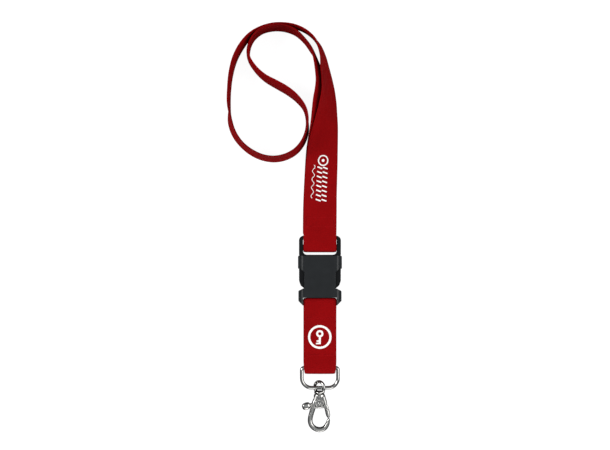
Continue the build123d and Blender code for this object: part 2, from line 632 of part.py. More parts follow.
parts = [
    neck_strap,
    neck_strap_stitching,
    tab_strap,
    tab_strap_stitching,
    buckle_socket,
    buckle_plug,
    buckle_prong_left,
    buckle_prong_right,
    d_ring,
    swivel_eye,
    hook_body,
    trigger_gate,
    trigger_pin,
    trigger_spring,
]
os.makedirs("parts", exist_ok=True)
for part in parts:
    export_step(part.part, f"parts/{part.part.label}.step")
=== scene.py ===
"""Neck lanyard of 25 mm webbing, laid out flat: the looks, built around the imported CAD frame.

Lengths below are in millimetres and are turned into Blender's metres by MM, except
where a name ends in _M.
"""

import math

import bmesh
import bpy
import numpy as np
from mathutils import Matrix, Vector


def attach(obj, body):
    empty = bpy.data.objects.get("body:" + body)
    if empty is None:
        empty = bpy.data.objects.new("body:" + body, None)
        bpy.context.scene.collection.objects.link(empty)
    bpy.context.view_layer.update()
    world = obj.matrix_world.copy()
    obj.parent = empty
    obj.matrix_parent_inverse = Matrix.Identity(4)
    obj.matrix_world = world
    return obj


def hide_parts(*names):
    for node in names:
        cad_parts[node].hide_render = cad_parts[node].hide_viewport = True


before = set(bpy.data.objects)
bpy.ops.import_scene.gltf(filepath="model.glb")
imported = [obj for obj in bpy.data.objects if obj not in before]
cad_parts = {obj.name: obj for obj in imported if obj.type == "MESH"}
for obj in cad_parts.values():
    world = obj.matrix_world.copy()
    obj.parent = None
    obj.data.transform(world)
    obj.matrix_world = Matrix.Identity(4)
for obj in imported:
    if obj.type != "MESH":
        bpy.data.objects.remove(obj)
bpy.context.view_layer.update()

MM = 0.001
MID_Z = 4.0  # mid-plane of the buckle, the tab, the D-ring and the hook

# ---- webbing ------------------------------------------------------------------------
WEBBING_WIDTH = 25.0
WEBBING_THICKNESS = 1.2
CROWN = 0.22  # how far the middle of the webbing stands proud of its edges
CURL = 1.5  # how deeply the webbing cups where it stands on its edge
SAMPLE_STEP = 1.8  # spacing of the mesh's rings along the webbing

# The neck strap's centre line: x, y, z and the lean of the webbing, 0 lying face up,
# 90 standing on its edge with the printed face outwards, 180 lying face down.
STRAP_ROUTE = [
    (0.0, 32.6, 5.85, 0),
    (0.0, 34.2, 5.85, 0),
    (0.1, 40.0, 5.3, 0),
    (0.2, 52.0, 5.3, 0),
    (0.4, 64.0, 5.35, 7),
    (0.9, 76.0, 5.4, 12),
    (1.5, 88.0, 5.85, 17),
    (2.1, 99.0, 6.85, 23),
    (3.1, 109.0, 8.45, 32),
    (4.3, 118.0, 9.8, 42),
    (5.2, 126.0, 10.5, 51),
    (5.9, 135.0, 11.2, 59),
    (5.9, 144.0, 11.8, 66),
    (4.9, 152.0, 12.1, 70),
    (3.5, 160.0, 12.3, 73.5),
    (2.0, 169.4, 12.5, 79),
    (-1.5, 178.7, 12.6, 83),
    (-9.2, 186.4, 12.6, 85),
    (-17.4, 190.3, 12.6, 86),
    (-26.6, 192.0, 12.6, 86),
    (-35.7, 191.7, 12.6, 86),
    (-44.2, 189.1, 12.6, 87),
    (-52.1, 184.2, 12.6, 89),
    (-58.5, 176.4, 12.6, 92),
    (-63.5, 167.3, 12.6, 92),
    (-66.8, 156.0, 12.6, 91),
    (-68.4, 143.5, 12.6, 89.5),
    (-68.7, 131.0, 12.6, 88.5),
    (-67.7, 120.0, 12.6, 81.5),
    (-64.4, 110.2, 12.6, 81.5),
    (-58.2, 101.8, 12.6, 83),
    (-50.6, 96.0, 12.6, 83),
    (-42.1, 92.4, 12.6, 83.5),
    (-33.6, 91.5, 12.6, 83.5),
    (-25.1, 93.4, 12.6, 83.5),
    (-18.0, 97.6, 12.6, 84),
    (-12.8, 104.0, 12.6, 85),
    (-9.7, 112.0, 12.6, 87),
    (-9.1, 120.5, 12.6, 90),
    (-11.1, 128.6, 12.6, 92),
    (-16.3, 135.6, 12.6, 95),
    (-24.0, 142.0, 12.6, 97),
    (-32.6, 147.0, 12.6, 97),
    (-41.2, 152.0, 12.6, 95),
    (-48.4, 159.0, 12.6, 93),
    (-52.8, 166.5, 12.6, 92),
    (-53.3, 174.0, 12.6, 91),
    (-50.5, 181.4, 12.6, 91),
    (-44.6, 187.4, 12.6, 89),
    (-36.1, 190.1, 12.6, 88),
    (-27.1, 189.8, 12.6, 88),
    (-19.0, 186.8, 12.6, 89),
    (-11.9, 180.3, 12.6, 91),
    (-6.7, 173.0, 12.6, 91),
    (-3.5, 166.0, 12.6, 97),
    (-1.0, 158.5, 12.4, 103),
    (0.5, 151.0, 12.2, 107),
    (1.3, 144.0, 11.8, 114),
    (1.1, 135.0, 11.1, 121),
    (1.4, 126.0, 10.15, 129),
    (1.8, 118.0, 8.95, 138),
    (1.7, 109.0, 7.2, 148),
    (1.2, 99.0, 5.5, 157),
    (0.8, 88.0, 4.5, 163),
    (0.4, 76.0, 4.05, 168),
    (0.0, 64.0, 3.95, 173),
    (-0.3, 52.0, 3.9, 180),
    (-0.4, 40.0, 3.9, 180),
    (-0.4, 35.2, 3.9, 180),
]
FOLD_Y = 23.6
FOLD_RADIUS = 1.85
RETURN_Z = 2.5
RETURN_END_Y = 48.5

TAB_FOLD_RADIUS = 1.95
TAB_FOOT_RADIUS = 2.05
TAB_TOP_FOLD_Y = -15.8
TAB_FOOT_FOLD_Y = -68.4
TAB_CLOSED_OFFSET = 0.7
# The share of its full width that the tab has at each y: the D-ring's sides squeeze the fold.
TAB_TAPER = [(-71.2, 0.905), (-70.0, 0.93), (-68.6, 0.95), (-65.8, 0.975), (-61.5, 1.0)]


# ---- small helpers ------------------------------------------------------------------
def add_object(name, data):
    """Puts a mesh, light or camera in the scene as an object."""
    obj = bpy.data.objects.new(name, data)
    bpy.context.scene.collection.objects.link(obj)
    return obj


def new_object(name, verts, faces):
    """A mesh object from points in millimetres."""
    mesh = bpy.data.meshes.new(name)
    mesh.from_pydata([tuple(c * MM for c in v) for v in verts], [], faces)
    mesh.update()
    return add_object(name, mesh)


def from_bmesh(name, bm):
    mesh = bpy.data.meshes.new(name)
    bm.to_mesh(mesh)
    bm.free()
    return add_object(name, mesh)


def circle(x, y, radius, count):
    """Points round a circle in the plane."""
    angles = [2 * math.pi * n / count for n in range(count)]
    return [(x + radius * math.cos(a), y + radius * math.sin(a)) for a in angles]


def ring_faces(rings, sides, closed=False):
    """Faces of a skin over equal rings of points: joined end to end, or capped if open."""
    faces = []
    for ring in range(rings if closed else rings - 1):
        here, there = ring * sides, (ring + 1) % rings * sides
        for side in range(sides):
            nxt = (side + 1) % sides
            faces.append((here + side, here + nxt, there + nxt, there + side))
    if not closed:
        faces.append(tuple(reversed(range(sides))))
        faces.append(tuple((rings - 1) * sides + side for side in range(sides)))
    return faces


def set_uvs(obj, uvs):
    """The webbing's own coordinates, one pair for each vertex."""
    layer = obj.data.uv_layers.new(name="webbing")
    for loop in obj.data.loops:
        layer.data[loop.index].uv = uvs[loop.vertex_index]


def finish_normals(obj, angle):
    """Consistent outward normals, smooth shading with edges sharper than the angle kept."""
    bm = bmesh.new()
    bm.from_mesh(obj.data)
    bmesh.ops.recalc_face_normals(bm, faces=bm.faces)
    bm.to_mesh(obj.data)
    bm.free()
    for polygon in obj.data.polygons:
        polygon.use_smooth = True
    obj.data.set_sharp_from_angle(angle=math.radians(angle))
    return obj


def even_normals(obj):
    """Lets the large flat faces set the shading where they meet small bevels."""
    step = obj.modifiers.new("weights", "WEIGHTED_NORMAL")
    step.keep_sharp = True
    return apply_modifiers(obj)


def apply_modifiers(obj):
    """Replaces the object's mesh by what its modifiers make of it."""
    graph = bpy.context.evaluated_depsgraph_get()
    graph.update()
    made = bpy.data.meshes.new_from_object(obj.evaluated_get(graph))
    obj.modifiers.clear()
    obj.data = made
    return obj


def combine(obj, other, operation):
    """Boolean of two objects, applied; the other object is removed."""
    step = obj.modifiers.new("combine", "BOOLEAN")
    step.operation = operation
    step.solver = "EXACT"
    step.object = other
    apply_modifiers(obj)
    bpy.data.objects.remove(other)
    return obj


def join(name, objects):
    """One object made of several, as separate shells."""
    bm = bmesh.new()
    for obj in objects:
        bm.from_mesh(obj.data)
    for obj in objects:
        bpy.data.objects.remove(obj)
    return from_bmesh(name, bm)


def rounded_outline(corners, steps=6):
    """A closed outline from (x, y, radius) corners, each corner an arc of its radius."""
    points = []
    count = len(corners)
    for number, (x, y, radius) in enumerate(corners):
        here = Vector((x, y))
        before = Vector(corners[number - 1][:2]) - here
        after = Vector(corners[(number + 1) % count][:2]) - here
        turn = before.angle(after)
        if radius <= 0 or turn > math.radians(179):
            points.append((x, y))
            continue
        reach = radius / math.tan(turn / 2)
        reach = min(reach, 0.49 * before.length, 0.49 * after.length)
        radius = reach * math.tan(turn / 2)
        middle = (before.normalized() + after.normalized()).normalized()
        centre = here + middle * radius / math.sin(turn / 2)
        first = here + before.normalized() * reach - centre
        last = here + after.normalized() * reach - centre
        sweep = first.angle_signed(last)
        for step in range(steps + 1):
            bent = first.copy()
            bent.rotate(Matrix.Rotation(-sweep * step / steps, 2))
            points.append((centre.x + bent.x, centre.y + bent.y))
    return points


def prism(name, outline, low_z, high_z, rim=0.0, rim_steps=3):
    """An extruded outline whose top and bottom rims are rounded by rim."""
    bm = bmesh.new()
    ring = [bm.verts.new((x * MM, y * MM, low_z * MM)) for x, y in outline]
    base = bm.faces.new(ring)
    raised = bmesh.ops.extrude_face_region(bm, geom=[base])
    top = [v for v in raised["geom"] if isinstance(v, bmesh.types.BMVert)]
    bmesh.ops.translate(bm, verts=top, vec=(0, 0, (high_z - low_z) * MM))
    bmesh.ops.recalc_face_normals(bm, faces=bm.faces)
    if rim > 0:
        rims = [e for e in bm.edges if abs(e.verts[0].co.z - e.verts[1].co.z) < 1e-7]
        bmesh.ops.bevel(
            bm,
            geom=rims,
            offset=rim * MM,
            segments=rim_steps,
            profile=0.5,
            affect="EDGES",
            clamp_overlap=True,
        )
    return from_bmesh(name, bm)


def box(name, low, high):
    """A box between two corners."""
    outline = [(low[0], low[1]), (high[0], low[1]), (high[0], high[1]), (low[0], high[1])]
    return prism(name, outline, low[2], high[2])


def soften(obj, width, segments, angle):
    """Rounds every edge sharper than the angle."""
    step = obj.modifiers.new("soften", "BEVEL")
    step.width = width * MM
    step.segments = segments
    step.limit_method = "ANGLE"
    step.angle_limit = math.radians(angle)
    return apply_modifiers(obj)


def hermite(points, step):
    """Points along a smooth curve through the given rows, and the row position of each."""
    points = np.array(points, float)
    gaps = np.linalg.norm(np.diff(points[:, :3], axis=0), axis=1)
    slopes = np.diff(points, axis=0) / gaps[:, None]
    tangents = np.empty_like(points)
    tangents[0], tangents[-1] = slopes[0], slopes[-1]
    weights = gaps[1:] / (gaps[1:] + gaps[:-1])
    tangents[1:-1] = slopes[:-1] * weights[:, None] + slopes[1:] * (1 - weights)[:, None]
    rows = []
    for number, gap in enumerate(gaps):
        count = max(1, math.ceil(gap / step))
        for part in range(count):
            t = part / count
            rows.append(
                (2 * t**3 - 3 * t**2 + 1) * points[number]
                + (t**3 - 2 * t**2 + t) * gap * tangents[number]
                + (3 * t**2 - 2 * t**3) * points[number + 1]
                + (t**3 - t**2) * gap * tangents[number + 1]
            )
    rows.append(points[-1])
    return np.array(rows)


def unit(rows):
    return rows / np.linalg.norm(rows, axis=1, keepdims=True)


def tube(name, path, radius, sides=20, closed=False, flat=1.0, up=(0, 0, 1)):
    """A tube along a path in millimetres. Radius is one number, or one for each point, and
    flat scales it along up."""
    path = np.array(path, float)
    count = len(path)
    radii = np.broadcast_to(np.asarray(radius, float), (count,))
    ahead = np.roll(path, -1, axis=0)
    behind = np.roll(path, 1, axis=0)
    if not closed:
        ahead[-1], behind[0] = path[-1], path[0]
    along = unit(ahead - behind)
    across = unit(np.cross(along, np.array(up, float)))
    lift = np.cross(across, along)
    verts = []
    for place in range(count):
        for side in range(sides):
            angle = 2 * math.pi * side / sides
            verts.append(
                path[place]
                + across[place] * math.cos(angle) * radii[place]
                + lift[place] * math.sin(angle) * radii[place] * flat
            )
    return new_object(name, verts, ring_faces(count, sides, closed))


def melt(obj, voxel, smooth):
    """Fuses overlapping shells into one skin with soft inner corners, as a casting has."""
    step = obj.modifiers.new("fuse", "REMESH")
    step.mode = "VOXEL"
    step.voxel_size = voxel * MM
    soft = obj.modifiers.new("smooth", "SMOOTH")
    soft.factor = 0.5
    soft.iterations = smooth
    return apply_modifiers(obj)


def dress(obj, body, slot, material, *nodes):
    """Material, body and the CAD nodes that the piece stands for. The slot argument is not used."""
    obj.data.materials.clear()
    obj.data.materials.append(material)
    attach(obj, body)
    if nodes:
        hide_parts(*nodes)
    return obj


# ---- materials ----------------------------------------------------------------------
class Nodes:
    """Short hand for building one material's node tree."""

    def __init__(self, name):
        self.material = bpy.data.materials.new(name)
        self.material.use_nodes = True
        self.tree = self.material.node_tree
        self.shader = self.tree.nodes["Principled BSDF"]

    def add(self, kind, **settings):
        node = self.tree.nodes.new(kind)
        for key, value in settings.items():
            setattr(node, key, value)
        return node

    def link(self, source, target):
        self.tree.links.new(source, target)

    def math(self, operation, first, second=None):
        node = self.add("ShaderNodeMath", operation=operation)
        for place, value in enumerate((first, second)):
            if value is None:
                continue
            if isinstance(value, (int, float)):
                node.inputs[place].default_value = value
            else:
                self.link(value, node.inputs[place])
        return node.outputs[0]

    def noise(self, coordinates, scale, detail):
        node = self.add("ShaderNodeTexNoise")
        node.inputs["Scale"].default_value = scale
        node.inputs["Detail"].default_value = detail
        node.inputs["Roughness"].default_value = 0.55
        self.link(coordinates, node.inputs["Vector"])
        return node.outputs["Fac"]

    def ramp(self, value, low, high, dark, light):
        node = self.add("ShaderNodeValToRGB")
        node.color_ramp.elements[0].position = low
        node.color_ramp.elements[0].color = (*dark, 1)
        node.color_ramp.elements[1].position = high
        node.color_ramp.elements[1].color = (*light, 1)
        self.link(value, node.inputs["Fac"])
        return node.outputs["Color"]

    def spread(self, value, low, high):
        """A 0 to 1 value stretched to run from low to high."""
        node = self.add("ShaderNodeMapRange")
        node.inputs["To Min"].default_value = low
        node.inputs["To Max"].default_value = high
        self.link(value, node.inputs["Value"])
        return node.outputs["Result"]

    def bump(self, height, distance):
        node = self.add("ShaderNodeBump")
        node.inputs["Distance"].default_value = distance * MM
        node.inputs["Strength"].default_value = 1.0
        self.link(height, node.inputs["Height"])
        self.link(node.outputs["Normal"], self.shader.inputs["Normal"])


WARP_PITCH = 0.62  # spacing of the lengthwise yarns
WEFT_PITCH = 0.5  # spacing of the crosswise ribs


def weave_height(nodes, across, along):
    """Yarns of a twill: lengthwise ribs, each crossed by slanting picks, from 0 to 1."""
    warp = nodes.math("MULTIPLY", across, 2 * math.pi / (WARP_PITCH * MM))
    weft = nodes.math("MULTIPLY", along, 2 * math.pi / (WEFT_PITCH * MM))
    rib = nodes.math("SINE", warp)
    slant = nodes.math("ADD", weft, nodes.math("MULTIPLY", warp, 0.5))
    pick = nodes.math("SINE", slant)
    crossing = nodes.math("MULTIPLY", rib, pick)
    both = nodes.math("ADD", nodes.math("MULTIPLY", rib, 0.35), crossing)
    return nodes.math("ADD", nodes.math("MULTIPLY", both, 0.37), 0.5)


def woven(name, dark, light, roughness, sheen, bump_depth):
    """Woven polyester: yarn relief and colour that follow the webbing's own coordinates, with painted
    shade darkening the weave's low places and random mottle.
    """
    nodes = Nodes(name)
    uv = nodes.add("ShaderNodeUVMap", uv_map="webbing")
    parts = nodes.add("ShaderNodeSeparateXYZ")
    nodes.link(uv.outputs["UV"], parts.inputs[0])
    height = weave_height(nodes, parts.outputs[0], parts.outputs[1])
    place = nodes.add("ShaderNodeTexCoord").outputs["Object"]
    fuzz = nodes.noise(place, 2600.0, 4.0)
    mottle = nodes.noise(place, 70.0, 3.0)
    # painted shade: the weave's low places are coloured darker, with random fuzz and mottle on top
    valley_shade_and_mottle = nodes.math("MULTIPLY", height, 0.55)
    valley_shade_and_mottle = nodes.math("ADD", valley_shade_and_mottle, nodes.math("MULTIPLY", fuzz, 0.25))
    valley_shade_and_mottle = nodes.math("ADD", valley_shade_and_mottle, nodes.math("MULTIPLY", mottle, 0.3))
    nodes.link(nodes.ramp(valley_shade_and_mottle, 0.15, 0.95, dark, light), nodes.shader.inputs["Base Color"])
    nodes.link(nodes.spread(fuzz, roughness - 0.08, roughness + 0.1), nodes.shader.inputs["Roughness"])
    nodes.shader.inputs["Sheen Weight"].default_value = sheen
    nodes.shader.inputs["Sheen Roughness"].default_value = 0.5
    nodes.shader.inputs["Sheen Tint"].default_value = (*light, 1)
    nodes.shader.inputs["Specular IOR Level"].default_value = 0.03
    relief = nodes.math("ADD", height, nodes.math("MULTIPLY", fuzz, 0.35))
    nodes.bump(relief, bump_depth)
    return nodes.material


def moulded(name, colour, shine):
    """Black acetal: spark-eroded texture, with soft random patches of lighter tone and changing
    roughness.
    """
    nodes = Nodes(name)
    place = nodes.add("ShaderNodeTexCoord").outputs["Object"]
    grain = nodes.noise(place, 3800.0, 2.0)
    cloud = nodes.noise(place, 160.0, 4.0)
    light = tuple(c * 1.6 + 0.001 for c in colour)
    nodes.link(nodes.ramp(cloud, 0.3, 0.75, colour, light), nodes.shader.inputs["Base Color"])
    nodes.link(nodes.spread(cloud, 0.3, 0.46), nodes.shader.inputs["Roughness"])
    nodes.shader.inputs["Specular IOR Level"].default_value = shine
    nodes.bump(grain, 0.02)
    return nodes.material


def plated(name, colour, low_roughness, high_roughness, dents):
    """Bright nickel plate over wire or a casting, with fine scratches and soft unevenness."""
    nodes = Nodes(name)
    place = nodes.add("ShaderNodeTexCoord").outputs["Object"]
    cloud = nodes.noise(place, 420.0, 4.0)
    scratch = nodes.noise(place, 5200.0, 2.0)
    shade = tuple(c * 0.75 for c in colour)
    nodes.link(nodes.ramp(cloud, 0.3, 0.7, shade, colour), nodes.shader.inputs["Base Color"])
    nodes.link(nodes.spread(cloud, low_roughness, high_roughness), nodes.shader.inputs["Roughness"])
    nodes.shader.inputs["Metallic"].default_value = 1.0
    relief = nodes.math("ADD", nodes.math("MULTIPLY", cloud, 0.7), nodes.math("MULTIPLY", scratch, 0.3))
    nodes.bump(relief, dents)
    return nodes.material


red_webbing = woven("red_webbing", (0.11, 0.0006, 0.0011), (0.285, 0.002, 0.0032), 0.75, 0.0, 0.05)
white_ink = woven("white_ink", (0.62, 0.6, 0.58), (0.9, 0.88, 0.86), 0.6, 0.0, 0.04)
red_thread = woven("red_thread", (0.13, 0.001, 0.002), (0.34, 0.004, 0.007), 0.6, 0.05, 0.03)
black_acetal = moulded("black_acetal", (0.001, 0.0018, 0.0026), 0.32)
smooth_acetal = moulded("smooth_acetal", (0.0008, 0.001, 0.0014), 0.14)
nickel_wire = plated("nickel_wire", (0.38, 0.37, 0.355), 0.12, 0.2, 0.008)
nickel_casting = plated("nickel_casting", (0.39, 0.38, 0.365), 0.14, 0.24, 0.014)
spring_wire = plated("spring_wire", (0.42, 0.42, 0.43), 0.25, 0.35, 0.01)


# ---- ribbons of webbing ---------------------------------------------------------------
class Ribbon:
    """Webbing along a line of centres, with a face normal at each of them."""

    def __init__(self, stations, step, closed=False, taper=None):
        rows = hermite(stations, step)
        if closed:
            rows = rows[:-1]
        self.closed = closed
        self.centre = rows[:, :3]
        ahead = np.roll(self.centre, -1, axis=0)
        behind = np.roll(self.centre, 1, axis=0)
        if not closed:
            ahead[-1], behind[0] = self.centre[-1], self.centre[0]
        along = unit(ahead - behind)
        face = rows[:, 3:6]
        face = face - along * np.sum(face * along, axis=1, keepdims=True)
        self.face = unit(face)
        self.across = np.cross(along, self.face)
        if taper:
            places, widths = zip(*taper)
            self.across = self.across * np.interp(self.centre[:, 1], places, widths)[:, None]
        gaps = np.linalg.norm(np.diff(self.centre, axis=0), axis=1)
        self.run = np.concatenate([[0.0], np.cumsum(gaps)])
        self.length = float(self.run[-1])
        if closed:
            self.length += float(np.linalg.norm(self.centre[0] - self.centre[-1]))

    def height(self, offset):
        """Half the webbing's thickness at an offset from its middle."""
        reach = min(1.0, abs(offset) / (WEBBING_WIDTH / 2))
        return WEBBING_THICKNESS / 2 * math.sqrt(1 - reach**10)

    @staticmethod
    def swell(offset, face, side):
        """How far the webbing's middle layer leaves a flat one: crowned where it lies, and
        cupped where it stands on its edge."""
        reach = offset / (WEBBING_WIDTH / 2)
        return CROWN * (1 - reach**2) * face[2] + CURL * (reach**2 - 0.75) * side[2] ** 2

    def point(self, run, offset, lift):
        """A point on the printed face, lifted off it, at a run along and offset across."""
        place = [np.interp(run, self.run, self.centre[:, axis]) for axis in range(3)]
        face = np.array([np.interp(run, self.run, self.face[:, axis]) for axis in range(3)])
        side = np.array([np.interp(run, self.run, self.across[:, axis]) for axis in range(3)])
        lift += self.height(offset) + self.swell(offset, face, side)
        return np.array(place) + side * offset + face * lift

    def build(self, name, columns=29):
        """The webbing as a closed skin, with its own coordinates in metres as UVs."""
        half = WEBBING_WIDTH / 2
        offsets = [half * math.sin(math.pi * (c / (columns - 1) - 0.5)) for c in range(columns)]
        ring = [(a, 1) for a in offsets] + [(a, -1) for a in reversed(offsets[1:-1])]
        verts = []
        uvs = []
        for place in range(len(self.centre)):
            for offset, sign in ring:
                face, side = self.face[place], self.across[place]
                lift = sign * self.height(offset) + self.swell(offset, face, side)
                verts.append(self.centre[place] + side * offset + face * lift)
                uvs.append((offset * MM, self.run[place] * MM))
        size = len(ring)
        count = len(self.centre)
        faces = []
        for place in range(count if self.closed else count - 1):
            here, there = place * size, (place + 1) % count * size
            for side in range(size):
                nxt = (side + 1) % size
                faces.append((here + side, there + side, there + nxt, here + nxt))
        if not self.closed:
            for start in (0, (count - 1) * size):
                top = [start + c for c in range(columns)]
                low = [start, *[start + size - c for c in range(1, columns - 1)], start + columns - 1]
                for c in range(columns - 1):
                    corners = [top[c], top[c + 1], low[c + 1], low[c]]
                    faces.append(tuple(dict.fromkeys(corners)))
        obj = new_object(name, verts, faces)
        set_uvs(obj, uvs)
        return finish_normals(obj, 50)


def station(x, y, z, lean, heading):
    """A route row with its face normal worked out from its lean and heading."""
    ahead = Vector((heading[0], heading[1], 0)).normalized()
    side = ahead.cross(Vector((0, 0, 1)))
    face = side * math.sin(math.radians(lean)) + Vector((0, 0, math.cos(math.radians(lean))))
    return (x, y, z, *face)


def half_turn(y, radius, outward, upward, steps=range(1, 8)):
    """Route rows round a fold; outward and upward are 1 or -1, the way the face turns."""
    rows = []
    for number in steps:
        angle = math.pi * number / 8
        face_y, face_z = outward * math.sin(angle), upward * math.cos(angle)
        rows.append((0.0, y + radius * face_y, MID_Z + radius * face_z, 0.0, face_y, face_z))
    return rows


def neck_stations():
    """The whole strap: from the end laid back, round the plug's bar, then its route."""
    rows = [(0.1, y, RETURN_Z, 0, 0, -1) for y in (RETURN_END_Y, 44.0, 40.0)]
    rows += [(0.0, y, MID_Z - FOLD_RADIUS, 0, 0, -1) for y in (34.2, 30.0, 26.0)]
    rows += half_turn(FOLD_Y, FOLD_RADIUS, -1, -1, range(9))
    rows += [(0.0, y, MID_Z + FOLD_RADIUS, 0, 0, 1) for y in (26.0, 29.5)]
    for number, (x, y, z, lean) in enumerate(STRAP_ROUTE):
        before = STRAP_ROUTE[max(number - 1, 0)]
        after = STRAP_ROUTE[min(number + 1, len(STRAP_ROUTE) - 1)]
        rows.append(station(x, y, z, lean, (after[0] - before[0], after[1] - before[1])))
    return rows


def tab_stations():
    """The tab: a closed loop round the socket's bar and the D-ring's bar."""
    front = [
        (TAB_TOP_FOLD_Y, TAB_FOLD_RADIUS),
        (-20.0, TAB_FOLD_RADIUS - 0.1),
        (-23.6, 1.3),
        (-27.5, TAB_CLOSED_OFFSET + 0.02),
        (-36.0, TAB_CLOSED_OFFSET),
        (-48.0, TAB_CLOSED_OFFSET),
        (-57.5, TAB_CLOSED_OFFSET + 0.02),
        (-61.0, 1.4),
        (-64.2, TAB_FOOT_RADIUS - 0.1),
        (TAB_FOOT_FOLD_Y, TAB_FOOT_RADIUS),
    ]
    rows = [(0.0, y, MID_Z + height, 0.0, 0.0, 1.0) for y, height in front]
    rows += half_turn(TAB_FOOT_FOLD_Y, TAB_FOOT_RADIUS, -1, 1)
    rows += [(0.0, y, MID_Z - height, 0.0, 0.0, -1.0) for y, height in reversed(front)]
    rows += half_turn(TAB_TOP_FOLD_Y, TAB_FOLD_RADIUS, 1, -1)
    return [*rows, rows[0]]


neck_ribbon = Ribbon(neck_stations(), SAMPLE_STEP)
tab_ribbon = Ribbon(tab_stations(), SAMPLE_STEP, closed=True, taper=TAB_TAPER)
neck_strap = neck_ribbon.build("neck_strap_webbing")
tab_strap = tab_ribbon.build("tab_strap_webbing")
dress(neck_strap, "neck", "webbing", red_webbing, "neck_strap")
dress(tab_strap, "tab", "webbing", red_webbing, "tab_strap")


def run_at(ribbon, y, nearest_z):
    """The run along a ribbon where it passes a y on the front ply, not its other passes."""
    gap = np.abs(ribbon.centre[:, 1] - y) + 0.6 * np.abs(ribbon.centre[:, 2] - nearest_z)
    gap = gap + np.abs(ribbon.centre[:, 0]) * 0.2
    return float(ribbon.run[int(np.argmin(gap))])


# ---- prints ---------------------------------------------------------------------------
INK_LIFT = 0.035


class Print:
    """Ink shapes laid on a ribbon's printed face. Shapes are given in millimetres across
    (to the right) and along (up the strap) from the print's centre."""

    def __init__(self, ribbon, run, offset, up):
        self.ribbon, self.run, self.offset, self.up = ribbon, run, offset, up
        self.verts, self.faces, self.uvs = [], [], []

    def add(self, across, along):
        run = self.run + self.up * along
        self.verts.append(self.ribbon.point(run, self.offset + across, INK_LIFT))
        self.uvs.append(((self.offset + across) * MM, run * MM))
        return len(self.verts) - 1

    def strip(self, left, right):
        """A band between two rows of points."""
        first = [self.add(*p) for p in left]
        second = [self.add(*p) for p in right]
        for n in range(len(first) - 1):
            self.faces.append((first[n], second[n], second[n + 1], first[n + 1]))

    def ring(self, centre, inner, outer, steps):
        edges = [circle(*centre, radius, steps) for radius in (inner, outer)]
        self.strip(*[edge + edge[:1] for edge in edges])

    def bar(self, start, end, width):
        """A straight stroke with square ends."""
        a, b = Vector(start), Vector(end)
        steps = max(2, math.ceil((b - a).length / 0.8))
        self.stroke([a.lerp(b, n / steps) for n in range(steps + 1)], width)

    def stroke(self, line, width):
        """A curved stroke along points."""
        path = [Vector(p) for p in line]
        left, right = [], []
        for n, here in enumerate(path):
            ahead = path[min(n + 1, len(path) - 1)] - path[max(n - 1, 0)]
            side = ahead.orthogonal().normalized() * width / 2
            left.append(tuple(here - side))
            right.append(tuple(here + side))
        self.strip(left, right)

    def build(self, name, body):
        obj = new_object(name, self.verts, self.faces)
        set_uvs(obj, self.uvs)
        for polygon in obj.data.polygons:
            polygon.use_smooth = True
        return dress(obj, body, "webbing", white_ink)


def tab_print():
    """A ring with a plain key in it, on the front of the tab."""
    ink = Print(tab_ribbon, run_at(tab_ribbon, -42.4, MID_Z + 0.7), 0.1, -1)
    ink.ring((0, 0), 7.3, 8.9, 72)
    ink.ring((0, 2.5), 1.25, 2.75, 36)
    ink.bar((0, 0.1), (0, -5.4), 1.5)
    ink.bar((0.7, -3.0), (2.4, -3.0), 1.1)
    ink.bar((0.7, -4.85), (2.9, -4.85), 1.1)
    return ink.build("tab_print", "tab")


def neck_print():
    """A small ring, a row of slanting blocks and a fine wave, on the strap's front."""
    ink = Print(neck_ribbon, run_at(neck_ribbon, 73.0, 5.4), 0.0, 1)
    ink.ring((0.6, 18.2), 3.25, 4.15, 48)
    ink.ring((0.6, 18.2), 0.0, 1.15, 24)
    blocks = 8
    for number in range(blocks):
        low = 13.2 - number * 3.5
        for start, end in ((-3.6, 0.15), (0.75, 4.5)):
            ink.bar((start, low), (end, low - 1.2), 1.0)
    wave = [(-6.4 + 0.9 * math.sin(n * 0.42), 14.6 - n * 0.42) for n in range(61)]
    ink.stroke(wave, 0.42)
    return ink.build("neck_print", "neck")


tab_ink = tab_print()
neck_ink = neck_print()


# ---- stitching ------------------------------------------------------------------------
THREAD_WIDTH = 0.42
STITCH_LENGTH = 2.1
STITCH_PITCH = 2.7
SEAM_HALF = 10.6  # half the width of a seam across the webbing
FRONT_PLY_Z = 5.3  # middle of the strap's front ply above the plug


def stitch(start, end, up):
    """One stitch: thread that rises out of the webbing, lies on it and dives back in."""
    a, b = Vector(start), Vector(end)
    lift = Vector((0, 0, up))
    path = []
    steps = 8
    for n in range(steps + 1):
        t = n / steps
        rise = 0.16 * math.sin(math.pi * t) ** 0.5 - 0.06
        path.append(tuple(a.lerp(b, t) + lift * rise))
    return tube("stitch", path, THREAD_WIDTH / 2, sides=8, flat=0.6)


def seam(start, end, up):
    """A straight row of stitches."""
    a, b = Vector(start), Vector(end)
    count = max(1, round((b - a).length / STITCH_PITCH))
    pitch = (b - a) / count
    reach = pitch.normalized() * STITCH_LENGTH / 2
    middles = [a + pitch * (n + 0.5) for n in range(count)]
    return [stitch(m - reach, m + reach, up) for m in middles]


def sewn(name, seams, body, node):
    made = []
    for start, end, up in seams:
        made += seam(start, end, up)
    obj = join(name, made)
    set_uvs(obj, [(v.co.x + v.co.z, v.co.y) for v in obj.data.vertices])
    finish_normals(obj, 60)
    return dress(obj, body, "thread", red_thread, node)


def neck_seams():
    half, foot, top = SEAM_HALF, 40.8, 47.6
    rows = []
    for middle, up in ((FRONT_PLY_Z, 1), (RETURN_Z, -1)):
        z = middle + up * WEBBING_THICKNESS / 2 + CROWN * 0.28
        rows += [
            ((-half, foot, z), (half, foot, z), up),
            ((-half, top, z), (half, top, z), up),
            ((-half, foot, z), (-half, top, z), up),
            ((half, foot, z), (half, top, z), up),
        ]
    return rows


